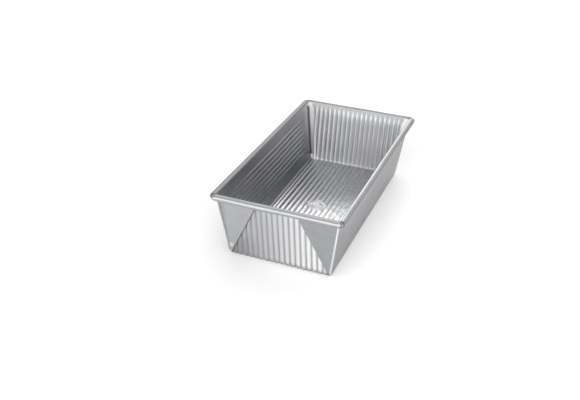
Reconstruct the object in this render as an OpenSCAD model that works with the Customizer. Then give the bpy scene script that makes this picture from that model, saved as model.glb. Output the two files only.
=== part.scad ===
// Loaf pan with folded corners and a wired rim.
// One blank of fluted sheet is bent up into a floor and four leaning walls. The spare sheet at
// each corner is folded double and laid flat on the end wall as a gusset. The top edge of the
// sheet turns outward and curls round a steel wire.
// Millimetres. The origin is on the table under the middle of the pan, +X points across it,
// +Y along it towards the rear end wall, and +Z up.

/* [Pan] */
// Inside width between the long walls, at the rim
inside_w = 129.6; // [100:0.2:160]
// Inside length between the end walls, at the rim
inside_l = 256.6; // [180:0.2:360]
// Height from the table to the top of the rim
pan_h = 73.5; // [60:0.5:90]
// Outward lean of the walls, in degrees from upright
lean = 8; // [5:0.5:11]

/* [Sheet] */
// Thickness of the sheet
sheet_t = 0.7; // [0.5:0.1:0.8]
// Radius of the bend from the floor into a wall, at the middle of the sheet
foot_bend = 2.5; // [2.5:0.5:6]
// Radius of the upright bend from a long wall into a gusset, at the middle of the sheet
corner_bend = 2.2; // [1.8:0.1:3]

/* [Flutes] */
// Distance from one flute to the next
flute_pitch = 5.85; // [5:0.05:7]
// Height of the flutes of the floor and the end walls above the plain sheet
flute_rise = 0.9; // [0.4:0.1:1.1]
// Height of the flutes of the long walls above the plain sheet
side_flute_rise = 0.6; // [0.3:0.1:1.1]
// Plain band between the flutes of an end wall and its rim
plain_band = 2; // [2:0.5:12]
// Plain band between the flutes of a long wall and its rim
side_plain_band = 11; // [6:0.5:16]
// Most flutes on a long wall, which has fewer where it is too low for them
side_flutes = 8; // [3:1:12]
// Plain margin between the flutes of a long wall and its corners
plain_end = 8; // [6:1:20]

/* [Gussets] */
// Angle between the corner of the pan and the folded edge of a gusset
gusset_angle = 33.5; // [30:0.5:37]
// Gap left between two sheets that are folded flat on each other
ply_gap = 0.1; // [0.05:0.01:0.12]

/* [Rim] */
// Width of the rim, from the inside face of a wall to the outside of the bead
rim_w = 6.7; // [6.6:0.1:9]
// Diameter of the wire inside the rim
wire_d = 4.8; // [3.6:0.1:4.8]
// Radius of the rim's corners along the inside faces of the walls
rim_inner_corner = 1.3; // [0.8:0.1:6]
// Radius of the bend from a wall into the rim, at the middle of the sheet
lip_bend = 1.65; // [1.3:0.05:1.8]
// How far the curl goes round the wire, in degrees
curl_wrap = 240; // [200:5:250]

/* [Stamp] */
// Outside radius of the plain round stamp in the floor
stamp_r = 12; // [8:0.5:16]
// Distance of the stamp's centre from the middle of the pan, towards the rear
stamp_y = 8; // [-40:1:40]

/* [Hidden] */
$fn = 64;

sheet_colour = [0.72, 0.73, 0.75];
gusset_colour = [0.68, 0.69, 0.71];
rim_colour = [0.78, 0.79, 0.81];
wire_colour = [0.55, 0.56, 0.58];

// The plain sheet of the floor lies on the table. This is the height of the sheet's middle.
half_t = sheet_t / 2;
floor_z = half_t;

// The rim's section is drawn with u outward from the wall's inside face and z up.
wire_clearance = 0.05;
bead_r = wire_d / 2 + wire_clearance + sheet_t;
bead_u = rim_w - bead_r;
bead_z = pan_h - bead_r;
lip_u = (lip_bend + half_t) * cos(lean);
lip_z = pan_h - half_t - lip_bend;
// Half the notch in the rim at a corner, as an angle about the corner's centre
seam_turn = 5;

// A wall is drawn flat, with x along its foot, y up its slope and z outward from its middle.
// Its head is where the rim's lip begins.
head_z = lip_z + lip_bend * sin(lean);
head_s = (head_z - floor_z) / cos(lean);
foot_w = inside_w + 2 * (half_t * cos(lean) - head_s * sin(lean));
foot_l = inside_l + 2 * (half_t * cos(lean) - head_s * sin(lean));
bend_s = foot_bend * tan((90 - lean) / 2);
flutes_top_s = head_s - plain_band;
floor_half_w = foot_w / 2 - bend_s;
floor_half_l = foot_l / 2 - bend_s;

// In a wall's plane the corner of the pan leans by this angle, and across the corner the two
// walls stand a little wider than square.
corner_lean = atan(sin(lean));
corner_open = 90 - acos(pow(sin(lean), 2));

// Plies of a gusset, as distances outward from the middle of the end wall.
inner_ply_n = sheet_t + ply_gap;
outer_ply_n = 2 * inner_ply_n;
fold_n = (inner_ply_n + outer_ply_n) / 2;
hinge_r = inner_ply_n / 2;

// Centre of the corner bend, seen along the corner: c runs outward across it, n as above. The
// end wall folds back on itself at the same c, which just clears the inside of the bend.
bend_n = outer_ply_n - corner_bend;
bend_c = -(corner_bend + bend_n * sin(corner_open)) / cos(corner_open);
side_trim = bend_c * sin(corner_open) - bend_n * cos(corner_open);
// Above the gussets the end wall runs on to within a hair of the long wall.
hair_gap = 0.07;
tab_c = -half_t - hair_gap;

// A gusset begins just above the foot bends and ends just under the bead.
gusset_low_z = floor_z + bend_s * cos(lean) + 0.05;
gusset_high_z = pan_h - 2 * bead_r - 0.2;

stamp_x = -flute_pitch;
stamp_wall = 1;
stamp_ring_h = 0.4;
stamp_ring_w = 1.2;
stamp_ring_share = 0.62;
// Overlap that joins a flute or the stamp to the plain sheet round it
bite = 0.1;

// A flute is a rounded ridge on the inside of the pan. It takes up three quarters of the pitch,
// and the plain sheet shows as a flat strip between one flute and the next.
ridge_share = 0.75;
flute_steps = 8;
ridge_steps = flute_steps * ridge_share;
ridge_w = flute_pitch * ridge_share;
// Plain sheet kept at least this wide beside the outermost flutes
margin = 1;

// Lengths that only have to run well past the thing they cut
reach = 400;
corner_past = 20;
bend_past = 3;
fold_past = 5;
wedge_r = 9;

// Half the width taken by whole flutes, one of them in the middle, within a half width.
function fluted(half) = (floor((half - ridge_w / 2) / flute_pitch) + 0.5) * flute_pitch;

// One edge of a flute's section over its ridge, moved up by an offset.
function ridge_edge(rise, offset) = [
    for (i = [0 : ridge_steps])
        [(i / ridge_steps - 0.5) * ridge_w, rise * (1 - cos(360 * i / ridge_steps)) / 2 + offset]
];
function reversed(list) = [for (i = [len(list) - 1 : -1 : 0]) list[i]];

// Section of one flute, a whole pitch wide, with its ridge towards +Y.
module flute_section(rise) {
    edge_x = flute_pitch / 2;
    polygon(concat(
        [[-edge_x, -half_t]], ridge_edge(rise, -half_t), [[edge_x, -half_t], [edge_x, half_t]],
        reversed(ridge_edge(rise, half_t)), [[-edge_x, half_t]]
    ));
}

// The same section filled in below the ridge.
module flute_end_section(rise) {
    polygon(concat([[-ridge_w / 2, -half_t], [ridge_w / 2, -half_t]], reversed(ridge_edge(rise, half_t))));
}

// One flute along +Y, with its ridge towards -Z. Its far end is closed, and its near end if asked.
module flute(rise, length, closed_start) {
    rotate([90, 0, 0]) mirror([0, 1]) {
        translate([0, 0, -length]) {
            linear_extrude(length) flute_section(rise);
            linear_extrude(sheet_t) flute_end_section(rise);
        }
        if (closed_start)
            translate([0, 0, -sheet_t]) linear_extrude(sheet_t) flute_end_section(rise);
    }
}

// Section of fluted sheet with plain sheet beyond it, out to the half width at both sides.
module fluted_section(fluted_half, half) {
    last = round(fluted_half / flute_pitch - 0.5);
    for (i = [-last : last])
        translate([i * flute_pitch, 0]) flute_section(flute_rise);
    for (side = [-1, 1])
        translate([side * (fluted_half + half) / 2, 0])
            square([half - fluted_half, sheet_t], center = true);
}

module ring(mid_r, thickness) {
    difference() {
        circle(r = mid_r + thickness / 2);
        circle(r = mid_r - thickness / 2);
    }
}

// Wedge from one angle to another, under half a turn, that reaches past any of the sections here.
module wedge(from, to) {
    middle = (from + to) / 2;
    polygon([
        [0, 0], [wedge_r * cos(from), wedge_r * sin(from)],
        1.5 * [wedge_r * cos(middle), wedge_r * sin(middle)], [wedge_r * cos(to), wedge_r * sin(to)]
    ]);
}

// Places a flat-drawn wall on the side of the pan that lies k quarter turns from the front.
module on_wall(k) {
    rotate([0, 0, 90 * k])
        translate([0, -(k % 2 == 0 ? foot_l : foot_w) / 2, floor_z])
            rotate([90 + lean, 0, 0]) children();
}

// Outline of a wall between two heights, with its corners cut back by the trim.
module wall_outline(foot, low, high, trim) {
    low_half = foot / 2 + low * tan(corner_lean) - trim / cos(corner_lean);
    high_half = foot / 2 + high * tan(corner_lean) - trim / cos(corner_lean);
    polygon([[-low_half, low], [low_half, low], [high_half, high], [-high_half, high]]);
}

// Bend from a wall into the floor. The children are its section, with radius along X.
module foot_bend_of() {
    translate([0, bend_s, -foot_bend])
        rotate([180, -90, 0])
            rotate_extrude(angle = 90 - lean) translate([foot_bend, 0]) children();
}

// Everything that lies between the 45 degree planes through two neighbouring corners.
module mitred(k) {
    a = (k % 2 == 0 ? foot_w : foot_l) / 2;
    b = (k % 2 == 0 ? foot_l : foot_w) / 2;
    intersection() {
        children();
        rotate([0, 0, 90 * k])
            linear_extrude(reach, center = true)
                polygon([
                    [-a - corner_past, -b - corner_past], [a + corner_past, -b - corner_past],
                    [a - corner_past, corner_past - b], [corner_past - a, corner_past - b]
                ]);
    }
}

module floor_panel() {
    half = fluted(floor_half_w - margin);
    color(sheet_colour) translate([0, 0, floor_z]) {
        difference() {
            rotate([90, 0, 0])
                linear_extrude(2 * floor_half_l, center = true)
                    fluted_section(half, floor_half_w);
            translate([stamp_x, stamp_y, 0])
                cylinder(r = stamp_r - bite, h = reach, center = true);
        }
        translate([stamp_x, stamp_y, -half_t]) stamp();
    }
}

// Plain round stamp that flattens the flutes: a disc inside a wall as high as the flutes, with
// one low ring on it.
module stamp() {
    cylinder(r = stamp_r, h = sheet_t);
    linear_extrude(sheet_t + flute_rise) ring(stamp_r - stamp_wall / 2, stamp_wall);
    linear_extrude(sheet_t + stamp_ring_h) ring(stamp_r * stamp_ring_share, stamp_ring_w);
}

// The flutes of an end wall run up it. The one outside the floor's width at each side starts
// where the wall is wide enough for it.
module end_wall(k) {
    half = fluted(floor_half_w - margin);
    last = round(half / flute_pitch - 0.5);
    outer_x = (last + 1) * flute_pitch;
    outer_low_s = (outer_x + ridge_w / 2 + margin - bend_c / cos(corner_lean) - foot_w / 2)
        / tan(corner_lean);
    tab_low_s = (gusset_high_z - floor_z) / cos(lean) + 0.2;
    color(sheet_colour) {
        on_wall(k) {
            difference() {
                linear_extrude(sheet_t, center = true) {
                    wall_outline(foot_w, bend_s, head_s, -bend_c);
                    wall_outline(foot_w, tab_low_s, head_s, -tab_c);
                }
                flutes_space(half, bend_s - 1, flutes_top_s);
                flutes_space(half + flute_pitch, outer_low_s, flutes_top_s);
            }
            for (i = [-last : last])
                translate([i * flute_pitch, bend_s, 0])
                    flute(flute_rise, flutes_top_s - bend_s, false);
            for (side = [-1, 1])
                translate([side * outer_x, outer_low_s, 0])
                    flute(flute_rise, flutes_top_s - outer_low_s, true);
        }
        mitred(k) on_wall(k) foot_bend_of()
            rotate([0, 0, -90]) mirror([0, 1]) fluted_section(half, foot_w / 2 + bend_past);
    }
}

// Space cut from a plain wall for its flutes. The flutes overlap the plain sheet round it a little.
module flutes_space(half, low, high) {
    translate([bite - half, low + bite, -sheet_t])
        cube([2 * (half - bite), high - low - 2 * bite, 2 * sheet_t]);
}

// The flutes of a long wall run along it, in rows below the plain band.
module side_wall(k) {
    top_s = head_s - side_plain_band;
    rows = min(side_flutes, floor((top_s - bend_s) / flute_pitch));
    along = foot_l - 2 * plain_end;
    color(sheet_colour) {
        on_wall(k) {
            difference() {
                linear_extrude(sheet_t, center = true)
                    wall_outline(foot_l, bend_s, head_s, side_trim);
                flutes_space(along / 2, top_s - rows * flute_pitch, top_s);
            }
            for (row = [0 : rows - 1])
                translate([along / 2, top_s - (row + 0.5) * flute_pitch, 0])
                    rotate([0, 0, 90]) flute(side_flute_rise, along, true);
        }
        mitred(k) on_wall(k) foot_bend_of()
            square([sheet_t, foot_l + 2 * bend_past], center = true);
    }
}

// Draws along the corner of an end wall, at its right-hand side: X outward across the corner,
// Y up it and Z outward from the wall.
module at_corner() {
    translate([foot_w / 2, 0, 0]) rotate([0, 0, -corner_lean]) children();
}

// Extrudes a section, drawn with c and n, up the corner.
module up_corner() {
    translate([0, reach / 2, 0]) rotate([90, 0, 0]) linear_extrude(reach) children();
}

// Triangle of sheet between the corner and the folded edge, stopped short of the corner by trim.
module ply(trim, n) {
    length = head_s + corner_past;
    tip = trim / tan(gusset_angle);
    translate([0, 0, n])
        linear_extrude(sheet_t, center = true)
            polygon([[-trim, tip], [-trim, length], [-length * tan(gusset_angle), length]]);
}

// Gusset on the right-hand side of an end wall. The long wall turns the corner into the outer
// ply, which folds under along the slanting edge and comes back as the inner ply, which folds
// under again into the end wall.
module right_gusset() {
    intersection() {
        at_corner() {
            up_corner() {
                translate([bend_c, bend_n])
                    intersection() {
                        ring(corner_bend, sheet_t);
                        wedge(corner_open, 90);
                    }
                translate([bend_c, hinge_r])
                    intersection() {
                        ring(hinge_r, sheet_t);
                        translate([0, -fold_past]) square([fold_past, 2 * fold_past]);
                    }
            }
            ply(-bend_c, outer_ply_n);
            ply(-bend_c, inner_ply_n);
            rotate([0, 0, gusset_angle])
                up_corner() translate([0, fold_n])
                    intersection() {
                        ring((outer_ply_n - inner_ply_n) / 2, sheet_t);
                        translate([-fold_past, -fold_past]) square([fold_past, 2 * fold_past]);
                    }
        }
        rotate([-90 - lean, 0, 0])
            translate([-reach / 2, -reach / 2, gusset_low_z - floor_z])
                cube([reach, reach, gusset_high_z - gusset_low_z]);
    }
}

// k is 0 for the front end wall and 2 for the rear one.
module gusset(k, is_right) {
    color(gusset_colour) on_wall(k)
        if (is_right) right_gusset();
        else mirror([1, 0, 0]) right_gusset();
}

// Section of the rim: the lip out of the wall, a short ledge and the curl round the wire.
module rim_section() {
    translate([lip_u, lip_z])
        intersection() {
            ring(lip_bend, sheet_t);
            wedge(90, 180 - lean);
        }
    translate([lip_u, pan_h - sheet_t]) square([bead_u - lip_u, sheet_t]);
    translate([bead_u, bead_z])
        difference() {
            ring(bead_r - half_t, sheet_t);
            wedge(90, 450 - curl_wrap);
        }
}

// Rim on side k of the pan, with half of the corner at each of its ends.
module rim_curl(k) {
    across = (k % 2 == 0 ? inside_w : inside_l) / 2 - rim_inner_corner;
    away = (k % 2 == 0 ? inside_l : inside_w) / 2 - rim_inner_corner;
    color(rim_colour) rotate([0, 0, 90 * k]) translate([0, -away, 0]) {
        rotate([90, 0, -90])
            linear_extrude(2 * across, center = true)
                translate([rim_inner_corner, 0]) rim_section();
        for (is_left = [0, 1])
            mirror([is_left, 0, 0])
                translate([across, 0, 0])
                    rotate([0, 0, -90])
                        rotate_extrude(angle = 45 - seam_turn)
                            translate([rim_inner_corner, 0]) rim_section();
    }
}

// One wire bent into a rounded rectangle, its ends butted in the middle of the rear rim.
module rim_wire() {
    butt_gap = 0.4;
    across = inside_w / 2 - rim_inner_corner;
    along = inside_l / 2 - rim_inner_corner;
    turn_r = rim_inner_corner + bead_u;
    color(wire_colour) difference() {
        union() {
            for (side = [-1, 1]) {
                translate([side * (across + turn_r), 0, bead_z])
                    rotate([90, 0, 0]) cylinder(d = wire_d, h = 2 * along, center = true);
                translate([0, side * (along + turn_r), bead_z])
                    rotate([0, 90, 0]) cylinder(d = wire_d, h = 2 * across, center = true);
            }
            for (quarter = [0 : 3])
                translate([(quarter % 3 == 0 ? 1 : -1) * across, (quarter < 2 ? 1 : -1) * along, 0])
                    rotate([0, 0, 90 * quarter])
                        rotate_extrude(angle = 90) translate([turn_r, bead_z]) circle(d = wire_d);
        }
        translate([-butt_gap / 2, along, bead_z - wire_d]) cube([butt_gap, reach, 2 * wire_d]);
    }
}

floor_panel();
end_wall(0);  // front_end_wall
end_wall(2);  // rear_end_wall
side_wall(1);  // right_side_wall
side_wall(3);  // left_side_wall
gusset(0, true);  // front_right_gusset
gusset(0, false);  // front_left_gusset
gusset(2, true);  // rear_left_gusset
gusset(2, false);  // rear_right_gusset
rim_curl(0);  // front_rim_curl
rim_curl(2);  // rear_rim_curl
rim_curl(3);  // left_rim_curl
rim_curl(1);  // right_rim_curl
rim_wire();
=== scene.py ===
"""Looks of the folded loaf pan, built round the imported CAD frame.

Shapes are worked out in millimetres and turned into metres when a mesh is made. The sheet is one
blank of thin fluted steel, so every piece is a skin laid over its middle surface.
"""

import math

import bpy
import numpy as np
from mathutils import Matrix, Vector


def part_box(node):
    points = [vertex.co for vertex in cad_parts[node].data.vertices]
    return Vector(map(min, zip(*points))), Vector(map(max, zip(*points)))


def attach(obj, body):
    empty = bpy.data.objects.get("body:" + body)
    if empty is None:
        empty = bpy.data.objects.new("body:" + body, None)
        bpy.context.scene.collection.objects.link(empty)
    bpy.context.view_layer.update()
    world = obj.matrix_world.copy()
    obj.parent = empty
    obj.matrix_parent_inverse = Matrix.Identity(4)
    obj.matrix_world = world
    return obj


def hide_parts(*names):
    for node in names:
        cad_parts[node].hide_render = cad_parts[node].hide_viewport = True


MM = 0.001

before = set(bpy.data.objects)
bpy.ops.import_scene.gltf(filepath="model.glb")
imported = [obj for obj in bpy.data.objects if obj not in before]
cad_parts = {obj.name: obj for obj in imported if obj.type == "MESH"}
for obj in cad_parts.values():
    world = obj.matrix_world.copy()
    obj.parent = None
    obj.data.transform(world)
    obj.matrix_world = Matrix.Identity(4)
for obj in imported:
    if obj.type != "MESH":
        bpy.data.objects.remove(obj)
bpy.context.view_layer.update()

# ---------------------------------------------------------------- driving sizes, as in the CAD
LEAN = math.radians(8)
SHEET_T = 0.7
HALF_T = SHEET_T / 2
FOOT_BEND = 2.5
CORNER_BEND = 2.2
PITCH = 5.85
RISE = 0.9
SIDE_RISE = 0.6
PLAIN_BAND = 2.0
SIDE_PLAIN_BAND = 11.0
SIDE_FLUTES = 8
PLAIN_END = 8.0
GUSSET_ANGLE = math.radians(33.5)
PLY_GAP = 0.1
RIM_W = 6.7
WIRE_D = 4.8
RIM_INNER_CORNER = 1.3
LIP_BEND = 1.65
CURL_WRAP = math.radians(240)
SEAM_TURN = math.radians(5)
STAMP_R = 12.0
STAMP_X = -PITCH
STAMP_Y = 8.0
WIRE_CLEARANCE = 0.05
HAIR_GAP = 0.07
GUSSET_CLEARANCE = 0.2
RIDGE_SHARE = 0.75
# Flutes on each side of the middle one that are never squeezed, in the floor and the end walls
FLUTE_COUNT = 8
# Half of the gap between the wire's ends
BUTT_GAP = 0.2

RIM_LOW, RIM_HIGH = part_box("left_rim_curl")[0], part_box("right_rim_curl")[1]
PAN_H = RIM_HIGH.z / MM
INSIDE_W = (RIM_HIGH.x - RIM_LOW.x) / MM - 2 * RIM_W
INSIDE_L = (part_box("rear_rim_curl")[1].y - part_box("front_rim_curl")[0].y) / MM - 2 * RIM_W

COS, SIN, TAN = math.cos(LEAN), math.sin(LEAN), math.tan(LEAN)
BEAD_R = WIRE_D / 2 + WIRE_CLEARANCE + SHEET_T
BEAD_U = RIM_W - BEAD_R
BEAD_Z = PAN_H - BEAD_R
LIP_U = (LIP_BEND + HALF_T) * COS
LIP_Z = PAN_H - HALF_T - LIP_BEND
HEAD_Z = LIP_Z + LIP_BEND * SIN
HEAD_S = (HEAD_Z - HALF_T) / COS
FOOT_W = INSIDE_W + 2 * (HALF_T * COS - HEAD_S * SIN)
FOOT_L = INSIDE_L + 2 * (HALF_T * COS - HEAD_S * SIN)
BEND_TURN = math.pi / 2 - LEAN
BEND_S = FOOT_BEND * math.tan(BEND_TURN / 2)
BEND_T = FOOT_BEND * BEND_TURN
WALL_T = BEND_T + HEAD_S - BEND_S
FLUTES_TOP = HEAD_S - PLAIN_BAND
FLOOR_W = FOOT_W / 2 - BEND_S
FLOOR_L = FOOT_L / 2 - BEND_S
CORNER_LEAN = math.atan(SIN)
CORNER_OPEN = math.pi / 2 - math.acos(SIN ** 2)
INNER_PLY = SHEET_T + PLY_GAP
OUTER_PLY = 2 * INNER_PLY
FOLD_SLOPE = math.tan(GUSSET_ANGLE) / (
    math.cos(CORNER_LEAN) + math.tan(GUSSET_ANGLE) * math.sin(CORNER_LEAN)
)
GUSSET_TOP_S = (PAN_H - 2 * BEAD_R - GUSSET_CLEARANCE - HALF_T) / COS
RIDGE_W = RIDGE_SHARE * PITCH
PAN_MIDDLE = np.array([0.0, 0.0, PAN_H / 2])

# ---------------------------------------------------------------- sizes that only the looks have
# Path length where the corner bend starts, sharp. It has its full radius where the foot bend ends.
CORNER_START = -0.6
# Heights above the foot bend between which the plies of a gusset come away from the end wall
PLIES_FROM, PLIES_TO = 0.2, 4.5
# The tip at a gusset's foot stands out a little more. It grows from EAR_FROM up and has gone
# again between EAR_FADE and EAR_END.
DOG_EAR, EAR_FROM, EAR_FADE, EAR_END = 0.5, 1.0, 5.0, 12.0
# Above a gusset the end wall widens again up to the corner, over this stretch of its slope.
WIDEN_FROM, WIDEN_TO = GUSSET_TOP_S - 1.5, GUSSET_TOP_S + 1.0
# The outermost flute keeps this far from an edge.
EDGE_CLEAR = 0.3
# Flutes die away over these lengths before their ends, and a little beyond them.
FLUTE_FADE, FLUTE_OVERRUN = 9.0, 2.0
SIDE_FADE, SIDE_OVERRUN = 24.0, 1.0
STAMP_FADE, STAMP_OVERRUN = 0.9, 0.6
# Height, radius and width of the stamp's rim, of its low ring and of its ring of dashes
STAMP_RIM = (0.8, STAMP_R - 0.7, 1.8)
STAMP_RING = (0.35, 0.45 * STAMP_R, 1.4)
STAMP_DASHES = (0.3, 0.7 * STAMP_R, 2.6)
DASH_COUNT = 18
# Values of the dashes' cosine where a dash starts and where it has its full height
DASH_FROM, DASH_TO = 0.1, 0.7
# How unevenly the flutes are pressed, as a share of their height
UNEVENNESS = 0.05
# How far the sheet waves off its true surface
END_WAVE, SIDE_WAVE, FLOOR_WAVE, GUSSET_WAVE = 0.12, 0.18, 0.06, 0.05
# Largest value that a wave over the floor is expected to have
FLOOR_WAVE_LIMIT = 2.5
# Waves keep off a wall's foot, over CALM_FOOT, and its lip, from CALM_FROM to CALM_TO up the slope.
CALM_FOOT, CALM_FROM, CALM_TO = 14.0, 58.0, 70.0
# Waves keep off a gusset's foot, and off these shares of its outer ply at the bend and the fold.
GUSSET_CALM_FROM, GUSSET_CALM_TO = 14.0, 26.0
CALM_AT_BEND, CALM_AT_FOLD = 0.2, 0.15
# Powers that say how close to an edge a wave comes
SOFT_EDGE, SHARP_EDGE = 4, 8
# The rim dips and sways from RIM_FREE_U outward, less over the last RIM_CALM of a side and not in
# its corners. Its waves are cut off at RIM_WAVE_LIMIT.
RIM_DIP, RIM_SWAY, RIM_FREE_U, RIM_CALM, RIM_WAVE_LIMIT = 0.11, 0.16, 0.5, 10.0, 1.5
# The curl is pinched smaller at its cut ends, from PINCH_U outward.
PINCH, PINCH_LENGTH, PINCH_U = 0.3, 0.9, 1.0
# Path length along a rim that counts as one radian of its corner
TURN_PATH = 5.0

SEED = 7
rng = np.random.default_rng(SEED)


# ---------------------------------------------------------------- small maths
def smooth(x, low, high):
    """Eased step, 0 up to low and 1 from high on."""
    t = np.clip((x - low) / (high - low), 0, 1)
    return t * t * (3 - 2 * t)


def spaced(low, high, step):
    """Evenly spaced values from low to high, about a step apart."""
    return np.linspace(low, high, max(2, int(round((high - low) / step)) + 1))


def joined(*runs):
    """All values of several runs, in order and without doubles."""
    return np.unique(np.round(np.concatenate(runs), 5))


class Waves:
    """A slow wavy field over a plane, as a sum of a few random sines."""

    def __init__(self, shortest, longest, count=9):
        """Wave lengths lie between shortest and longest."""
        length = rng.uniform(shortest, longest, count)
        turn = rng.uniform(0, 2 * math.pi, count)
        self.kx = 2 * math.pi * np.cos(turn) / length
        self.ky = 2 * math.pi * np.sin(turn) / length
        self.phase = rng.uniform(0, 2 * math.pi, count)

    def __call__(self, x, y):
        total = 0
        for kx, ky, phase in zip(self.kx, self.ky, self.phase):
            total = total + np.sin(kx * x + ky * y + phase)
        return total / math.sqrt(len(self.phase))


# ---------------------------------------------------------------- walls and corners
def level(t):
    """Outward distance from the floor panel's edge, height and outward tilt at path length t.

    The path starts at the edge of the flat floor, goes round the foot bend and up the wall.
    """
    phi = np.clip((BEND_T - t) / FOOT_BEND, 0, BEND_TURN)
    s = np.where(t < BEND_T, BEND_S - FOOT_BEND * np.sin(phi), BEND_S + t - BEND_T)
    n = np.where(t < BEND_T, FOOT_BEND * (np.cos(phi) - 1), 0.0)
    flat = np.minimum(t, 0)
    out = BEND_S + s * SIN + n * COS + flat
    z = HALF_T + s * COS - n * SIN
    return out, z, LEAN + phi


def slope_s(t):
    """Distance up the slope of a wall at path length t."""
    return BEND_S + t - BEND_T


def corner(t):
    """Corner bend at path length t: radius, how far the outer ply stands out, and the centre."""
    radius = CORNER_BEND * smooth(t, CORNER_START, BEND_T)
    up = slope_s(t) - BEND_S
    ear = DOG_EAR * smooth(up, EAR_FROM, PLIES_TO) * (1 - smooth(up, EAR_FADE, EAR_END))
    stand = OUTER_PLY * smooth(up, PLIES_FROM, PLIES_TO) + ear
    centre_n = stand - radius
    centre_c = -(radius + centre_n * math.sin(CORNER_OPEN)) / math.cos(CORNER_OPEN)
    return radius, stand, centre_c, centre_n


def end_edge(t):
    """Half width of an end wall, where it meets the gusset's hinge."""
    out = level(t)[0]
    c = corner(t)[2]
    above = smooth(slope_s(t), WIDEN_FROM, WIDEN_TO)
    c = c + above * (-HALF_T - HAIR_GAP - c)
    return FLOOR_W + out + c / math.cos(CORNER_LEAN)


def side_edge(t):
    """Half length of a side wall, where the corner bend begins."""
    out = level(t)[0]
    radius, _, _, centre_n = corner(t)
    n = centre_n + radius * math.sin(CORNER_OPEN)
    return FLOOR_L + out + n / COS


def turned(x, out, z, k):
    """A point of the wall k quarter turns from the front, at out from the pan's middle."""
    return {0: (x, -out, z), 1: (out, x, z), 2: (-x, out, z), 3: (-out, -x, z)}[k]


def stacked(xyz):
    """Coordinates as one array of points."""
    return np.stack(np.broadcast_arrays(*xyz), -1)


def ridge(x, width=RIDGE_W):
    """Height of one rounded ridge, 0 to 1."""
    return np.where(np.abs(x) < width / 2, (1 + np.cos(2 * math.pi * x / width)) / 2, 0.0)


def outer_ridge(x, edge):
    """The outermost ridge, squeezed where a foot bend or a corner leaves it less room."""
    inner_side = FLUTE_COUNT * PITCH + RIDGE_W / 2
    centre = np.minimum((FLUTE_COUNT + 1) * PITCH, (inner_side + edge) / 2)
    width = np.minimum(RIDGE_W, 2 * (centre - inner_side))
    return ridge(np.abs(x) - centre, width) * width / RIDGE_W


def ridges(x, half_width):
    """Height, 0 to 1, of the ridges across the floor or an end wall of this half width."""
    nearest = np.clip(np.round(x / PITCH), -FLUTE_COUNT, FLUTE_COUNT)
    return ridge(x - nearest * PITCH) + outer_ridge(x, half_width - EDGE_CLEAR)


# Half width of an end wall at its foot, which the floor's outermost flutes have to fit too
FLUTED_FLOOR_W = float(end_edge(np.array(0.0)))

end_waves = [Waves(38, 90) for _ in range(2)]
side_waves = [Waves(45, 120) for _ in range(2)]
floor_waves = Waves(45, 110)
flute_waves = Waves(25, 60)
# Unevenness of the painted highlights on the floor's front and on the stamp
highlight_waves = Waves(5, 16)


def even(x, y):
    """How fully the flutes are pressed, as a share of their height."""
    return np.minimum(1 + UNEVENNESS * flute_waves(x, y), 1)


def calm(t, u, edge_power):
    """Share of its waves that a wall has here: none at its foot, its lip and its edges."""
    lip = smooth(slope_s(t), CALM_FROM, CALM_TO)
    return smooth(t, BEND_T, BEND_T + CALM_FOOT) * (1 - lip) * (1 - np.abs(u) ** edge_power)


def end_lift(x, t):
    """How far the sheet of an end wall stands inward of its plain surface."""
    top = 1 - smooth(slope_s(t), FLUTES_TOP - FLUTE_FADE, FLUTES_TOP + FLUTE_OVERRUN)
    return RISE * ridges(x, end_edge(t)) * top * even(x, t)


def end_place(k):
    """Middle surface of an end wall, over path length t and share u of its half width."""
    waves = end_waves[k // 2]

    def place(t, u):
        out, z, tilt = level(t)
        x = u * end_edge(t)
        lift = end_lift(x, t) + END_WAVE * calm(t, u, SOFT_EDGE) * waves(x, t)
        return stacked(
            turned(x, FOOT_L / 2 - BEND_S + out - lift * np.cos(tilt), z + lift * np.sin(tilt), k)
        )

    return place


def side_lift(t, y):
    """How far the sheet of a long wall stands inward of its plain surface."""
    along = FOOT_L / 2 - PLAIN_END
    down = (HEAD_S - SIDE_PLAIN_BAND - slope_s(t)) / PITCH
    row = np.clip(np.floor(down), 0, SIDE_FLUTES - 1)
    lift = ridge((down - row - 0.5) * PITCH) * ((down > 0) & (down < SIDE_FLUTES))
    ends = 1 - smooth(np.abs(y), along - SIDE_FADE, along + SIDE_OVERRUN)
    return SIDE_RISE * lift * ends


def side_place(k):
    """Middle surface of a long wall, over path length t and share u of its half length."""
    waves = side_waves[k // 2]

    def place(t, u):
        out, z, tilt = level(t)
        y = u * side_edge(t)
        lift = side_lift(t, y) + SIDE_WAVE * calm(t, u, SHARP_EDGE) * waves(y, t)
        return stacked(
            turned(y, FLOOR_W + out - lift * np.cos(tilt), z + lift * np.sin(tilt), k)
        )

    return place


def from_stamp(x, y):
    """Distance from the middle of the stamp."""
    return np.hypot(x - STAMP_X, y - STAMP_Y)


def stamp_lift(x, y):
    """Plain round stamp: a rim nearly as high as the flutes, a low ring and a ring of dashes."""
    r = from_stamp(x, y)
    rim, ring, dashes = (
        height * ridge(r - radius, width)
        for height, radius, width in (STAMP_RIM, STAMP_RING, STAMP_DASHES)
    )
    angle = np.arctan2(y - STAMP_Y, x - STAMP_X)
    dashes = dashes * smooth(np.cos(DASH_COUNT * angle), DASH_FROM, DASH_TO)
    return np.maximum.reduce([rim, ring, dashes])


def floor_place(y, u):
    """Middle surface of the floor, over y and share u of its half width."""
    x = u * FLOOR_W
    clear = smooth(from_stamp(x, y), STAMP_R - STAMP_FADE, STAMP_R + STAMP_OVERRUN)
    lift = np.maximum(RISE * ridges(x, FLUTED_FLOOR_W) * even(x, y) * clear, stamp_lift(x, y))
    edges = (1 - (y / FLOOR_L) ** SHARP_EDGE) * (1 - u ** SHARP_EDGE)
    wave = FLOOR_WAVE * edges * clear * (1 + floor_waves(x, y) / FLOOR_WAVE_LIMIT)
    return stacked((x, y, HALF_T + lift + wave))


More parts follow.
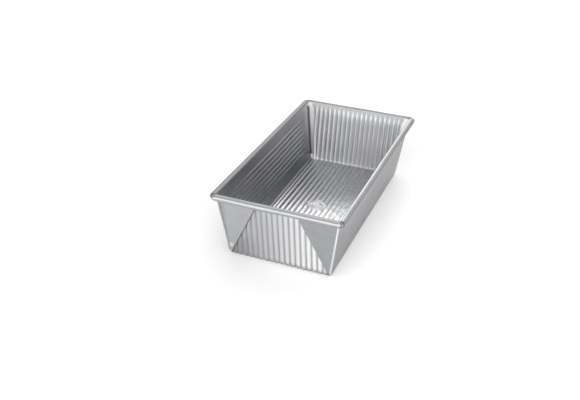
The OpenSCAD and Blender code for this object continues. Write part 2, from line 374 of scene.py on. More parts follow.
# ---------------------------------------------------------------- gussets
# Stations of a gusset's section: where the bend, the outer ply, the fold, the inner ply and the
# hinge begin, and the end
BEND_Q, OUTER_Q, FOLD_Q, INNER_Q, HINGE_Q, END_Q = range(6)
# A ply is never narrower than this.
LEAST_PLY = 0.02


def corner_point(t, c, n, front, right):
    """Point at path length t in the section across a corner, c outward and n off the end wall."""
    out, z, _ = level(t)
    x = FLOOR_W + out + n * TAN * SIN + c / math.cos(CORNER_LEAN)
    y = FLOOR_L + out + n / COS
    return stacked((x * (1 if right else -1), y * (-1 if front else 1), z + 0 * c))


def gusset_section(t, q):
    """Point of a gusset's section as (c, n), with q running through its stations."""
    radius, stand, centre_c, centre_n = corner(t)
    fold_c = -np.maximum(FOLD_SLOPE * slope_s(t), -centre_c + LEAST_PLY)
    inner = stand / 2
    part = np.clip(np.floor(q), BEND_Q, HINGE_Q)
    f = q - part
    bend_a = CORNER_OPEN + f * (math.pi / 2 - CORNER_OPEN)
    fold_a = math.pi * (0.5 + f)
    hinge_a = math.pi * (0.5 - f)
    fold_r = (stand - inner) / 2
    fold_n = (stand + inner) / 2
    c = np.choose(part.astype(int), [
        centre_c + radius * np.cos(bend_a), centre_c + f * (fold_c - centre_c),
        fold_c + fold_r * np.cos(fold_a), fold_c + f * (centre_c - fold_c),
        centre_c + inner / 2 * np.cos(hinge_a),
    ])
    n = np.choose(part.astype(int), [
        centre_n + radius * np.sin(bend_a), stand + 0 * f, fold_n + fold_r * np.sin(fold_a),
        inner + 0 * f, inner / 2 + inner / 2 * np.sin(hinge_a),
    ])
    return c, n


def gusset_place(front, right):
    """Middle surface of a gusset, over path length t and section station q."""
    waves = Waves(30, 70)

    def place(t, q):
        t, q = np.broadcast_arrays(t, q)
        c, n = gusset_section(t, q)
        free = smooth(slope_s(t), GUSSET_CALM_FROM, GUSSET_CALM_TO)
        free = free * smooth(q, OUTER_Q, OUTER_Q + CALM_AT_BEND)
        free = free * (1 - smooth(q, FOLD_Q - CALM_AT_FOLD, FOLD_Q))
        n = n + GUSSET_WAVE * free * (waves(c, t) - 1)
        return corner_point(t, c, n, front, right)

    return place


def tip_place(front, right):
    """The rounded tip where two foot bends and a corner bend meet."""

    def place(t, q):
        t, q = np.broadcast_arrays(t, q)
        radius, _, centre_c, centre_n = corner(t)
        a = CORNER_OPEN + q * (math.pi / 2 - CORNER_OPEN)
        return corner_point(
            t, centre_c + radius * np.cos(a), centre_n + radius * np.sin(a), front, right
        )

    return place


# ---------------------------------------------------------------- rim
LIP_POINTS, CURL_POINTS = 9, 37


def rim_profile():
    """Middle line of the rim's section as (u, z), from the wall's head to the end of the curl."""
    lip = np.linspace(math.pi - LEAN, math.pi / 2, LIP_POINTS)
    curl = np.linspace(math.pi / 2, math.pi / 2 - CURL_WRAP, CURL_POINTS)
    mid_r = BEAD_R - HALF_T
    points = [(LIP_U + LIP_BEND * math.cos(a), LIP_Z + LIP_BEND * math.sin(a)) for a in lip]
    points += [(BEAD_U + mid_r * math.cos(a), BEAD_Z + mid_r * math.sin(a)) for a in curl]
    return np.array(points)


PROFILE = rim_profile()
PROFILE_Q = np.arange(len(PROFILE), dtype=float)
PROFILE_RUN = np.concatenate([[0], np.cumsum(np.linalg.norm(np.diff(PROFILE, axis=0), axis=1))])


def rim_lengths(k):
    """Half lengths of the rim on side k: its straight part, and the whole up to the notch."""
    half = (INSIDE_W if k % 2 == 0 else INSIDE_L) / 2 - RIM_INNER_CORNER
    return half, half + (math.pi / 4 - SEAM_TURN) * TURN_PATH


def around_rim(k, p, u, z):
    """Point of the rim on side k, at path length p from its middle and u outside the inner face."""
    half, _ = rim_lengths(k)
    away, _ = rim_lengths(k + 1)
    turn = np.maximum(np.abs(p) - half, 0) / TURN_PATH
    side = np.sign(p)
    reach = RIM_INNER_CORNER + u
    x = np.clip(p, -half, half) + side * reach * np.sin(turn)
    out = away + reach * np.cos(turn)
    return turned(x, out, z, k)


def rim_place(k):
    """Middle surface of the rim on side k, over path length p and profile station q."""
    half, length = rim_lengths(k)
    up, out_by = Waves(22, 70), Waves(22, 70)

    def swing(waves, p):
        wave = np.clip(waves(p, 0 * p), -RIM_WAVE_LIMIT, RIM_WAVE_LIMIT)
        return 1 + wave / RIM_WAVE_LIMIT

    def place(p, q):
        p, q = np.broadcast_arrays(p, q)
        i = np.clip(np.floor(q), 0, len(PROFILE) - 2).astype(int)
        f = q - i
        u = PROFILE[i, 0] * (1 - f) + PROFILE[i + 1, 0] * f
        z = PROFILE[i, 1] * (1 - f) + PROFILE[i + 1, 1] * f
        free = smooth(u, RIM_FREE_U, BEAD_U) * (1 - smooth(np.abs(p), half - RIM_CALM, half))
        z = z - RIM_DIP * free * swing(up, p)
        u = u - RIM_SWAY * free * swing(out_by, p)
        at_end = smooth(np.abs(p), length - PINCH_LENGTH, length)
        pinch = PINCH * at_end * smooth(u, PINCH_U, BEAD_U)
        u = u + pinch * (BEAD_U - u) / BEAD_R
        z = z + pinch * (BEAD_Z - z) / BEAD_R
        return stacked(around_rim(k, p, u, z))

    return place


# ---------------------------------------------------------------- meshes
def linked(name, data):
    """An object in the scene that shows this mesh, light or camera."""
    obj = bpy.data.objects.new(name, data)
    bpy.context.scene.collection.objects.link(obj)
    return obj


def normals_of(place, r, c):
    """Unit normals of the surface at every node, by small differences."""
    e = 1e-3
    dr = place(r + e, c) - place(r - e, c)
    dc = place(r, c + e) - place(r, c - e)
    normal = np.cross(dr, dc)
    size = np.linalg.norm(normal, axis=-1, keepdims=True)
    return normal / np.maximum(size, 1e-12)


CUT_EDGE_WEAR = 0.5


class Skin:
    """Collects grids of sheet, each with both faces and its cut edges, as one mesh.

    Wear and painted light run from -1, full painted shade, over 0, the plain coat, to 1, the
    brightest: bare metal at cut edges, painted highlights elsewhere. Haze is what the whole skin adds
    to the sheet's roughness.
    """

    def __init__(self, haze=0.0):
        self.haze = haze
        self.points, self.faces, self.normals, self.uvs, self.wear_and_light = [], [], [], [], []
        self.count = 0

    def net(self, points, normals, uv, wear_and_light):
        """One rectangular net of points. Its faces are turned to agree with its normals."""
        rows, cols = points.shape[:2]
        index = np.arange(rows * cols).reshape(rows, cols)
        quads = np.stack([index[:-1, :-1], index[:-1, 1:], index[1:, 1:], index[1:, :-1]], -1)
        quads = quads.reshape(-1, 4)
        flat, faces_to = points.reshape(-1, 3), normals.reshape(-1, 3)
        corners = [flat[quads[:, i]] for i in range(4)]
        across = np.cross(corners[2] - corners[0], corners[3] - corners[1])
        if (across * faces_to[quads[:, 0]]).sum() < 0:
            quads = quads[:, ::-1]
        self.faces.append(quads + self.count)
        self.points.append(flat)
        self.normals.append(faces_to)
        self.uvs.append(uv.reshape(-1, 2))
        self.wear_and_light.append(np.broadcast_to(wear_and_light, (rows, cols)).reshape(-1))
        self.count += rows * cols

    def grid(self, place, rows, cols, uv, wear_and_light=None):
        """Adds sheet whose middle surface is place(row, col). Its last argument gives the outer and
        inner wear and painted light.
        """
        r, c = np.meshgrid(rows, cols, indexing="ij")
        mid = place(r, c)
        normal = normals_of(place, r, c)
        if ((mid - PAN_MIDDLE) * normal).sum() < 0:
            normal = -normal
        uv = stacked(uv(r, c))
        top, under = mid + HALF_T * normal, mid - HALF_T * normal
        outside, inside = wear_and_light(r, c) if wear_and_light else (0.0, 0.0)
        self.net(top, normal, uv, outside)
        self.net(under, -normal, uv, inside)
        whole = slice(None)
        for edge, inner in (((0, whole), (1, whole)), ((-1, whole), (-2, whole)),
                            ((whole, 0), (whole, 1)), ((whole, -1), (whole, -2))):
            away = mid[edge] - mid[inner]
            away = away - normal[edge] * (away * normal[edge]).sum(-1, keepdims=True)
            away /= np.maximum(np.linalg.norm(away, axis=-1, keepdims=True), 1e-12)
            self.net(
                np.stack([top[edge], under[edge]]), np.stack([away, away]),
                np.stack([uv[edge], uv[edge]]), CUT_EDGE_WEAR,
            )

    def object(self, name, material):
        """All nets as one object, with their own normals, place on the blank, wear and painted light,
        and haze.
        """
        points = np.concatenate(self.points) * MM
        faces = np.concatenate(self.faces)
        mesh = bpy.data.meshes.new(name)
        mesh.vertices.add(len(points))
        mesh.vertices.foreach_set("co", points.astype(np.float32).reshape(-1))
        mesh.loops.add(faces.size)
        mesh.loops.foreach_set("vertex_index", faces.reshape(-1).astype(np.int32))
        mesh.polygons.add(len(faces))
        mesh.polygons.foreach_set("loop_start", np.arange(0, faces.size, 4, dtype=np.int32))
        mesh.update(calc_edges=True)
        mesh.polygons.foreach_set("use_smooth", np.ones(len(faces), bool))
        uv = np.concatenate(self.uvs)[faces.reshape(-1)] * MM
        mesh.uv_layers.new(name="blank").data.foreach_set("uv", uv.astype(np.float32).reshape(-1))
        worn_and_lit = mesh.attributes.new("wear_and_light", "FLOAT", "POINT")
        worn_and_lit.data.foreach_set("value", np.concatenate(self.wear_and_light).astype(np.float32))
        haze = mesh.attributes.new("haze", "FLOAT", "POINT")
        haze.data.foreach_set("value", np.full(len(points), self.haze, np.float32))
        mesh.validate()
        mesh.normals_split_custom_set_from_vertices(np.concatenate(self.normals))
        mesh.materials.append(material)
        return linked(name, mesh)


def finished(skin, name, node, material):
    """The skin as an object on the pan's one body, in the place of this CAD node."""
    obj = skin.object(name, material)
    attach(obj, "root")
    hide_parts(node)
    return obj


# ---------------------------------------------------------------- materials
class Tree:
    """Short names for the few kinds of shader node used here."""

    def __init__(self, owner):
        """Takes over the nodes of a material or a world."""
        owner.use_nodes = True
        self.tree = owner.node_tree
        self.tree.nodes.clear()

    def node(self, kind, **inputs):
        made = self.tree.nodes.new(kind)
        for key, value in inputs.items():
            self.feed(made.inputs[key.replace("_", " ")], value)
        return made

    def feed(self, socket, value):
        """Links a socket to the output of a node, or sets it to a plain value."""
        if isinstance(value, bpy.types.NodeSocket):
            self.tree.links.new(value, socket)
        else:
            socket.default_value = value

    def attribute(self, name):
        made = self.tree.nodes.new("ShaderNodeAttribute")
        made.attribute_name = name
        return made.outputs["Fac"]

    def noise(self, vector, scale, detail=2.0, rough=0.5):
        made = self.node("ShaderNodeTexNoise", Vector=vector, Scale=scale, Detail=detail,
                         Roughness=rough)
        return made.outputs["Fac"]

    def stretched(self, vector, scale):
        """A place with each of its axes scaled."""
        made = self.node("ShaderNodeMapping", Vector=vector, Scale=scale)
        return made.outputs["Vector"]

    def spread(self, value, low, high, to_low, to_high):
        """The value, with low to high stretched to to_low to to_high and held at both ends."""
        made = self.node("ShaderNodeMapRange", Value=value)
        sockets = ("From Min", "From Max", "To Min", "To Max")
        for key, number in zip(sockets, (low, high, to_low, to_high)):
            made.inputs[key].default_value = number
        return made.outputs["Result"]

    def maths(self, kind, *values):
        made = self.tree.nodes.new("ShaderNodeMath")
        made.operation = kind
        for socket, value in zip(made.inputs, values):
            self.feed(socket, value)
        return made.outputs[0]

    def blend(self, factor, a, b):
        """Colour a where the factor is 0 and b where it is 1."""
        made = self.tree.nodes.new("ShaderNodeMix")
        made.data_type = "RGBA"
        self.feed(made.inputs["Factor"], factor)
        self.feed(made.inputs[6], a)
        self.feed(made.inputs[7], b)
        return made.outputs[2]

    def bump(self, height, strength, distance, below=None):
        """A normal tilted by this height, on top of the bump below it."""
        made = self.node("ShaderNodeBump", Height=height, Strength=strength, Distance=distance)
        if below is not None:
            self.feed(made.inputs["Normal"], below)
        return made.outputs["Normal"]

    def blank_uv(self):
        """Place on the flat blank, in metres."""
        made = self.tree.nodes.new("ShaderNodeUVMap")
        made.uv_map = "blank"
        return made.outputs["UV"]

    def end(self, shader, kind="ShaderNodeOutputMaterial"):
        """Makes this shader the surface of the material, or of the world."""
        out = self.tree.nodes.new(kind)
        self.tree.links.new(shader.outputs[0], out.inputs["Surface"])


# The sheet's coat where it is plain, from its darkest to its lightest, the bright of rubbed metal and
# of painted highlights, and painted shade
PLAIN_DARK, PLAIN_LIGHT = (0.345, 0.349, 0.357, 1.0), (0.405, 0.409, 0.417, 1.0)
RUBBED_AND_HIGHLIGHT, PAINTED_SHADE = (0.90, 0.903, 0.908, 1.0), (0.10, 0.10, 0.105, 1.0)
# Roughness of the coat, from the mottling, give or take the grain, and what full painted shade adds
COAT_ROUGH, GRAIN_ROUGH, PAINTED_SHADE_ROUGH = (0.31, 0.37), 0.03, 0.25
# Metal seen edge-on reflects this much of the light.
EDGE_ON = (0.78, 0.78, 0.78, 1.0)
# Finest to coarsest pattern, as cycles per metre of sheet. Grain is long along the blank.
GRAIN_SCALE, PIT_SCALE, MOTTLE_SCALE, CLOUD_SCALE = (2600.0, 60.0, 1.0), 1500.0, 210.0, 28.0
# Depth of each bump, in metres, and the strength that they share
GRAIN_DEPTH, MOTTLE_DEPTH, PIT_DEPTH, BUMP = 0.00002, 0.00005, 0.00001, 0.2
# Noise mostly stays within these values, and the mottling mixed with clouds within the next two.
NOISE_LOW, NOISE_HIGH = 0.3, 0.7
SHADE_LOW, SHADE_HIGH = 0.35, 0.65
CLOUD_SHARE = 0.4

WIRE_DARK, WIRE_LIGHT = (0.33, 0.34, 0.35, 1.0), (0.46, 0.47, 0.48, 1.0)
WIRE_ROUGH, WIRE_LINES, WIRE_LINE_DEPTH = (0.34, 0.46), (4000.0, 90.0, 1.0), 0.00003


def aluminized_sheet():
    """Steel with a dull bright coat: faint rolling grain, soft mottling and fine pits, with painted
    highlights and painted shade from a mesh attribute.
    """
    material = bpy.data.materials.new("aluminized_sheet")
    t = Tree(material)
    flat = t.blank_uv()
    worn_and_lit, haze = t.attribute("wear_and_light"), t.attribute("haze")
    grain = t.noise(t.stretched(flat, GRAIN_SCALE), 1.0, 3.0, 0.6)
    mottle = t.noise(flat, MOTTLE_SCALE, 4.0, 0.6)
    cloud = t.noise(flat, CLOUD_SCALE, 3.0, 0.55)
    pits = t.noise(flat, PIT_SCALE, 2.0, 0.5)

    shade = t.maths(
        "ADD", t.maths("MULTIPLY", mottle, 1 - CLOUD_SHARE), t.maths("MULTIPLY", cloud, CLOUD_SHARE),
    )
    colour = t.blend(t.spread(shade, SHADE_LOW, SHADE_HIGH, 0.0, 1.0), PLAIN_DARK, PLAIN_LIGHT)
    # Above 0 the attribute mixes in bright rubbed metal and painted highlights, below 0 painted
    # shade.
    colour = t.blend(t.maths("MAXIMUM", worn_and_lit, 0.0), colour, RUBBED_AND_HIGHLIGHT)
    colour = t.blend(t.spread(worn_and_lit, 0.0, -1.0, 0.0, 1.0), colour, PAINTED_SHADE)

    rough = t.maths(
        "ADD", t.spread(mottle, NOISE_LOW, NOISE_HIGH, *COAT_ROUGH),
        t.spread(grain, NOISE_LOW, NOISE_HIGH, -GRAIN_ROUGH, GRAIN_ROUGH),
    )
    rough = t.maths("ADD", rough, haze)
    rough = t.maths("MULTIPLY_ADD", t.maths("MINIMUM", worn_and_lit, 0.0), -PAINTED_SHADE_ROUGH, rough)

    normal = t.bump(grain, BUMP, GRAIN_DEPTH)
    normal = t.bump(mottle, BUMP, MOTTLE_DEPTH, normal)
    normal = t.bump(pits, BUMP, PIT_DEPTH, normal)
    t.end(t.node(
        "ShaderNodeBsdfPrincipled", Base_Color=colour, Metallic=1.0, Roughness=rough,
        Normal=normal, Specular_Tint=EDGE_ON,
    ))
    return material


def wire_steel():
    """Drawn steel wire, darker than the sheet, with fine lines along it."""
    material = bpy.data.materials.new("rim_wire_steel")
    t = Tree(material)
    lines = t.noise(t.stretched(t.blank_uv(), WIRE_LINES), 1.0, 3.0, 0.6)
    t.end(t.node(
        "ShaderNodeBsdfPrincipled", Base_Color=t.blend(lines, WIRE_DARK, WIRE_LIGHT),
        Metallic=1.0, Roughness=t.spread(lines, NOISE_LOW, NOISE_HIGH, *WIRE_ROUGH),
        Normal=t.bump(lines, 2 * BUMP, WIRE_LINE_DEPTH),
    ))
    return material


SHEET = aluminized_sheet()
WIRE = wire_steel()

# ---------------------------------------------------------------- painted light and shade, and haze
# All strengths of this painted light and shade were set by comparing the render's brightness with
# the photo's. A value named _SPAN says where a change starts and where it is complete.

# Added to the sheet's roughness
FLOOR_HAZE, END_HAZE, RIM_HAZE = -0.05, 0.14, 0.13

# Outside an end wall: a painted highlight on the flat strips, and how much brighter it is towards the
# right
STRIP_HIGHLIGHT, STRIP_MORE, STRIP_SPAN = 0.2, 0.75, (-0.6, 0.85)
STRIP_FOOT_SPAN, STRIP_TOP_SPAN = (BEND_T - 1, BEND_T + 4), (FLUTES_TOP - 4, FLUTES_TOP + 1)
# Painted shade in the crease over a fold, and how far from the fold it reaches
CREASE_SHADE, CREASE_SPAN = 0.75, (0.6, 1.6)
# Painted shade at the foot on the left, from left to right and up the slope
FOOT_SHADE, FOOT_SPAN, FOOT_TOP_SPAN = 0.3, (-0.9, -0.3), (10, 40)
# Inside it, painted sheen: the hollows, how much more on the crests, and the share lost up the slope
HOLLOW_SHEEN, CREST_MORE, CREST_POWER = 0.35, 1.15, 1.5
UPPER_LOSS, UPPER_SPAN = 0.5, (26, 58)
# A painted highlight on the flat strips along its edges
EDGE_STRIP_HIGHLIGHT, EDGE_STRIP_SPAN = 1.0, (0.88, 0.95)


def end_painted_light(k):
    """Painted light on an end wall: highlights on the flat strips outside and the ridges' tops
    inside, painted shade in the creases and at the left foot.
    """

    def wear_and_light(t, u):
        x, s = u * end_edge(t), slope_s(t)
        to_right = u if k == 0 else -u
        height = end_lift(x, t) / RISE
        wall = smooth(t, *STRIP_FOOT_SPAN) * (1 - smooth(s, *STRIP_TOP_SPAN))
        strips = STRIP_HIGHLIGHT + STRIP_MORE * smooth(to_right, *STRIP_SPAN)
        fold = FLOOR_W + level(t)[0] - FOLD_SLOPE * s / math.cos(CORNER_LEAN)
        crease = 1 - smooth(np.abs(np.abs(x) - fold), *CREASE_SPAN)
        foot = (1 - smooth(to_right, *FOOT_SPAN)) * (1 - smooth(s, *FOOT_TOP_SPAN))
        outside = (1 - height) * wall * strips * (1 - crease)
        outside = outside - CREASE_SHADE * crease * (s < GUSSET_TOP_S) - FOOT_SHADE * foot
        inside = HOLLOW_SHEEN + CREST_MORE * np.clip(height, 0, 1) ** CREST_POWER
        inside = inside * (1 - UPPER_LOSS * smooth(s, *UPPER_SPAN))
        inside = inside + EDGE_STRIP_HIGHLIGHT * smooth(np.abs(u), *EDGE_STRIP_SPAN)
        return outside, np.minimum(inside, 1)

    return wear_and_light


# On the floor, painted highlights: the crests and how much more towards the front, and the painted
# shade that darkens the rear
FLOOR_CREST, FRONT_MORE, REAR_LOSS, FRONT_SPAN = 0.15, 0.5, 0.15, (-30, 50)
# A painted reflection, a bright patch in front: how much more in its brightest places, and how much
# further back it reaches at the right edge of the floor than in the middle
PATCH_HIGHLIGHT, PATCH_MORE, PATCH_SPAN, PATCH_SLANT = 0.36, 0.42, (-40, 25), 30
# Painted highlights on the stamp: everywhere, how much more in the brightest places, and on its
# raised lines
STAMP_HIGHLIGHT, STAMP_MORE, STAMP_LINES = 0.1, 0.35, 0.3
STAMP_SPAN = (STAMP_R - 1, STAMP_R + 1)


def floor_painted_light(y, u):
    """Painted highlights: the ridges and the stamp are brightest towards the front of the floor, with
    painted shade at the rear.
    """
    x = u * FLOOR_W
    height = ridges(x, FLUTED_FLOOR_W)
    stamp = 1 - smooth(from_stamp(x, y), *STAMP_SPAN)
    front = smooth(-y, *FRONT_SPAN)
    patch = smooth(-y + PATCH_SLANT * u, *PATCH_SPAN)
    patchy = 0.5 + 0.5 * np.clip(highlight_waves(x, y), -1, 1)
    wear_and_light = height * (FLOOR_CREST + FRONT_MORE * front) + patch * (PATCH_HIGHLIGHT + PATCH_MORE * patchy)
    wear_and_light = wear_and_light - REAR_LOSS * (1 - front)
    on_stamp = STAMP_HIGHLIGHT + STAMP_MORE * patchy + STAMP_LINES * stamp_lift(x, y)
    return 0 * x, np.clip(wear_and_light * (1 - stamp) + on_stamp * stamp, -1, 1)


# Inside a long wall: painted shade everywhere, a painted highlight at the top, and more painted shade
# on the lower part
SIDE_SHADE = 0.1
TOP_HIGHLIGHT, TOP_SPAN = 0.15, (0.74 * WALL_T, WALL_T)
LOW_SHADE, LOW_SPAN = 0.24, (BEND_T, 0.8 * WALL_T)
# Painted shade on its flutes, and how much darker flutes and wall get towards the end where u is 1,
# which is the rear of the right wall and the front of the left one
FLUTE_SHADE, FLUTE_END_SHADE, SIDE_END_SHADE, SIDE_END_SPAN = 0.1, 0.3, 0.07, (-0.2, 0.9)


def side_painted_light(t, u):
    """Painted light inside a long wall: the lower part and the flutes have painted shade, most where
    u is 1, and the top a painted highlight.
    """
    height = side_lift(t, u * side_edge(t)) / SIDE_RISE
    low = 1 - smooth(t, *LOW_SPAN)
    end = smooth(u, *SIDE_END_SPAN)
    plain = TOP_HIGHLIGHT * smooth(t, *TOP_SPAN) - SIDE_SHADE - LOW_SHADE * low - SIDE_END_SHADE * end
    return 0 * height, plain - (FLUTE_SHADE + FLUTE_END_SHADE * end) * height


# On the gussets: all of the outside, in faint painted shade at the right and lit brighter at the
# left, and the inside
RIGHT_GUSSET, LEFT_GUSSET, GUSSET_INSIDE = -0.02, 0.12, 0.4
# A painted highlight along the middle of a right corner bend, painted shade at the far end of a left
# one, and how far both reach
BEND_HIGHLIGHT, BEND_HIGHLIGHT_Q, BEND_HIGHLIGHT_SPAN = 0.8, BEND_Q + 0.5, (0.1, 0.38)
BEND_SHADE, BEND_SHADE_Q, BEND_SHADE_SPAN = 0.5, OUTER_Q + 0.02, (0.03, 0.1)
# A painted highlight on the tip at the foot of a left gusset, up the slope and across the outer ply
TIP_HIGHLIGHT, TIP_FOOT_SPAN, TIP_TOP_SPAN = 0.45, (9.5, 12), (15, 16)
TIP_NEAR_SPAN, TIP_FAR_SPAN = (OUTER_Q + 0.1, OUTER_Q + 0.3), (OUTER_Q + 0.6, OUTER_Q + 0.9)
# Painted shade on what the fold hides
HIDDEN_SHADE, HIDDEN_SPAN = 0.6, (FOLD_Q + 0.4, FOLD_Q + 0.9)


def gusset_painted_light(right):
    """A right corner bend has a painted highlight along its middle, a left one painted shade at its
    end.
    """

    def wear_and_light(t, q):
        s = slope_s(t)
        if right:
            bend = BEND_HIGHLIGHT * (1 - smooth(np.abs(q - BEND_HIGHLIGHT_Q), *BEND_HIGHLIGHT_SPAN))
            outside = RIGHT_GUSSET + bend
        else:
            bend = BEND_SHADE * (1 - smooth(np.abs(q - BEND_SHADE_Q), *BEND_SHADE_SPAN))
            tip = smooth(s, *TIP_FOOT_SPAN) * (1 - smooth(s, *TIP_TOP_SPAN))
            tip = tip * smooth(q, *TIP_NEAR_SPAN) * (1 - smooth(q, *TIP_FAR_SPAN))
            outside = LEFT_GUSSET - bend + TIP_HIGHLIGHT * tip
        return outside - HIDDEN_SHADE * smooth(q, *HIDDEN_SPAN), GUSSET_INSIDE + 0 * q

    return wear_and_light


# On every rim: painted shade at the ends, from the notch inward, and where the lip goes over into the
# bead
NOTCH_SHADE, NOTCH_FROM, NOTCH_TO = 0.7, 1.6, 0.4
LIP_SPAN = (1.0, 2.0)
# On the front rim: a faint painted highlight on the outer face
FRONT_FACE, FRONT_FACE_SPAN = 0.05, (BEAD_U, BEAD_U + 2)
# On the right rim: a painted highlight along the lip, painted shade beside it, and a painted
# highlight on the outer face
LINE_HIGHLIGHT, LINE_IN_SPAN, LINE_OUT_SPAN, BESIDE_SHADE = 0.75, (0.8, 1.5), (2.4, 3.6), 0.3
FACE_HIGHLIGHT, FACE_SPAN = 0.5, (LIP_POINTS + 8, LIP_POINTS + 14)
# Painted shade on the rear rim and on the left one: lip and bead
REAR_LIP_SHADE, REAR_BEAD_SHADE = 0.1, 0.35
LEFT_LIP_SHADE, LEFT_BEAD_SHADE = 0.35, 0.15


def rim_painted_light(k):
    """Painted light: the four rims differ in how bright they are, and their ends at the notches have
    painted shade.
    """
    _, length = rim_lengths(k)

    def wear_and_light(p, q):
        u = np.interp(q, PROFILE_Q, PROFILE[:, 0])
        notch = NOTCH_SHADE * smooth(np.abs(p), length - NOTCH_FROM, length - NOTCH_TO)
        lip = 1 - smooth(u, *LIP_SPAN)
        if k == 0:
            outside = FRONT_FACE * smooth(u, *FRONT_FACE_SPAN)
        elif k == 1:
            line = smooth(u, *LINE_IN_SPAN) * (1 - smooth(u, *LINE_OUT_SPAN))
            outside = LINE_HIGHLIGHT * line - BESIDE_SHADE * (1 - line) + FACE_HIGHLIGHT * smooth(q, *FACE_SPAN)
        elif k == 2:
            outside = -REAR_LIP_SHADE * lip - REAR_BEAD_SHADE * (1 - lip)
        else:
            outside = -LEFT_LIP_SHADE * lip - LEFT_BEAD_SHADE * (1 - lip)
        return outside - notch, 0 * q

    return wear_and_light


# ---------------------------------------------------------------- the pan
# Steps of the nets: across flutes, round a foot bend, along flutes, and near their upper ends
FINE, BEND_STEP, ALONG_STEP, UPPER_STEP = 0.36, 0.6, 2.0, 0.7
# How far below its lip the net of an end wall gets finer
UPPER_PART = 14.0
# Steps along the floor, away from the stamp and on it, and half the length of that part
FLOOR_STEP, STAMP_STEP, STAMP_PART = 3.0, 0.45, 14.0
# Steps along a long wall as shares of its half length, and where they get finer
SIDE_STEP, SIDE_END_STEP, SIDE_END = 0.03, 0.005, 0.88
# Steps up a gusset, above its foot and at it, and the height of that part
GUSSET_STEP, GUSSET_LOW_STEP, GUSSET_LOW_PART = 2.2, 0.6, 12.0
# The rounded tip at the foot starts at this share of the foot bend.
TIP_START = 0.04
# Length on the blank that counts as one station of a gusset's section
STATION_UV = 9.0
# Steps along the rim, and round its corners
RIM_STEP, RIM_TURN_STEP = 2.5, 0.4

end_cols = spaced(-1, 1, FINE / (FLOOR_W + 3))
bend_rows = spaced(0, BEND_T, BEND_STEP)
end_rows = joined(
    bend_rows, spaced(BEND_T, WALL_T - UPPER_PART, ALONG_STEP),
    spaced(WALL_T - UPPER_PART, WALL_T, UPPER_STEP),
)
floor_rows = joined(
    spaced(-FLOOR_L, STAMP_Y - STAMP_PART, FLOOR_STEP),
    spaced(STAMP_Y - STAMP_PART, STAMP_Y + STAMP_PART, STAMP_STEP),
    spaced(STAMP_Y + STAMP_PART, FLOOR_L, FLOOR_STEP),
)
floor_skin = Skin(FLOOR_HAZE)
floor_skin.grid(
    floor_place, floor_rows, end_cols, lambda y, u: (u * FLOOR_W, y), floor_painted_light,
)
finished(floor_skin, "formed_floor", "floor_panel", SHEET)

for k, name in ((0, "front"), (2, "rear")):
    skin = Skin(END_HAZE)
    skin.grid(
        end_place(k), end_rows, end_cols,
        lambda t, u, k=k: (u * end_edge(t), (FLOOR_L + t) * (-1 if k == 0 else 1)), end_painted_light(k),
    )
    finished(skin, f"formed_{name}_end", f"{name}_end_wall", SHEET)

side_rows = joined(bend_rows, spaced(BEND_T, WALL_T, FINE))
side_cols = joined(
    spaced(-1, -SIDE_END, SIDE_END_STEP), spaced(-SIDE_END, SIDE_END, SIDE_STEP),
    spaced(SIDE_END, 1, SIDE_END_STEP),
)
for k, name in ((1, "right"), (3, "left")):
    skin = Skin()
    skin.grid(
        side_place(k), side_rows, side_cols,
        lambda t, u, k=k: ((FLOOR_W + t) * (1 if k == 1 else -1), u * FLOOR_L), side_painted_light,
    )
    finished(skin, f"formed_{name}_side", f"{name}_side_wall", SHEET)


def gusset_uv(t, q):
    """Place on the blank, with a fixed length for each station."""
    return FLOOR_W + STATION_UV * q, FLOOR_L + t


low_part = BEND_T + GUSSET_LOW_PART
gusset_top = BEND_T + GUSSET_TOP_S - BEND_S
gusset_rows = joined(
    spaced(BEND_T, low_part, GUSSET_LOW_STEP), spaced(low_part, gusset_top, GUSSET_STEP),
)
bend_cols = np.linspace(BEND_Q, OUTER_Q, 9)
gusset_cols = joined(
    bend_cols, np.linspace(OUTER_Q, FOLD_Q, 11), np.linspace(FOLD_Q, INNER_Q, 11),
    np.linspace(INNER_Q, HINGE_Q, 5), np.linspace(HINGE_Q, END_Q, 7),
)
tip_rows = joined([TIP_START * BEND_T], bend_rows[1:])
for front in (True, False):
    for right in (True, False):
        name = ("front" if front else "rear") + "_" + ("right" if right else "left")
        skin = Skin()
        skin.grid(
            gusset_place(front, right), gusset_rows, gusset_cols, gusset_uv, gusset_painted_light(right),
        )
        skin.grid(tip_place(front, right), tip_rows, bend_cols, gusset_uv)
        finished(skin, f"folded_{name}_gusset", f"{name}_gusset", SHEET)

for k, name in enumerate(("front", "right", "rear", "left")):
    half, length = rim_lengths(k)
    rim_rows = joined(
        spaced(-length, -half, RIM_TURN_STEP), spaced(-half, half, RIM_STEP),
        spaced(half, length, RIM_TURN_STEP),
    )
    skin = Skin(RIM_HAZE)
    skin.grid(
        rim_place(k), rim_rows, PROFILE_Q,
        lambda p, q: (np.interp(q, PROFILE_Q, PROFILE_RUN), p), rim_painted_light(k),
    )
    finished(skin, f"curled_{name}_rim", f"{name}_rim_curl", SHEET)


# Degrees between the points of the wire's corners, and points round its section, where the last
# one closes the ring
WIRE_TURN_STEP, WIRE_RING = 10, 29


def wire_path():
    """The wire's middle line in plan, and the direction away from the pan at each point of it."""
    half_w, half_l = rim_lengths(0)[0], rim_lengths(1)[0]
    turn_r = RIM_INNER_CORNER + BEAD_U
    path = [(x, half_l + turn_r) for x in (-BUTT_GAP, -half_w)]
    face = [(0, 1), (0, 1)]
    for x, y, start in ((-half_w, half_l, 90), (-half_w, -half_l, 180),
                        (half_w, -half_l, 270), (half_w, half_l, 0)):
        for turn in np.radians(np.arange(0, 91, WIRE_TURN_STEP) + start):
            path.append((x + turn_r * math.cos(turn), y + turn_r * math.sin(turn)))
            face.append((math.cos(turn), math.sin(turn)))
    path.append((BUTT_GAP, half_l + turn_r))
    face.append((0, 1))
    return np.array(path), np.array(face)


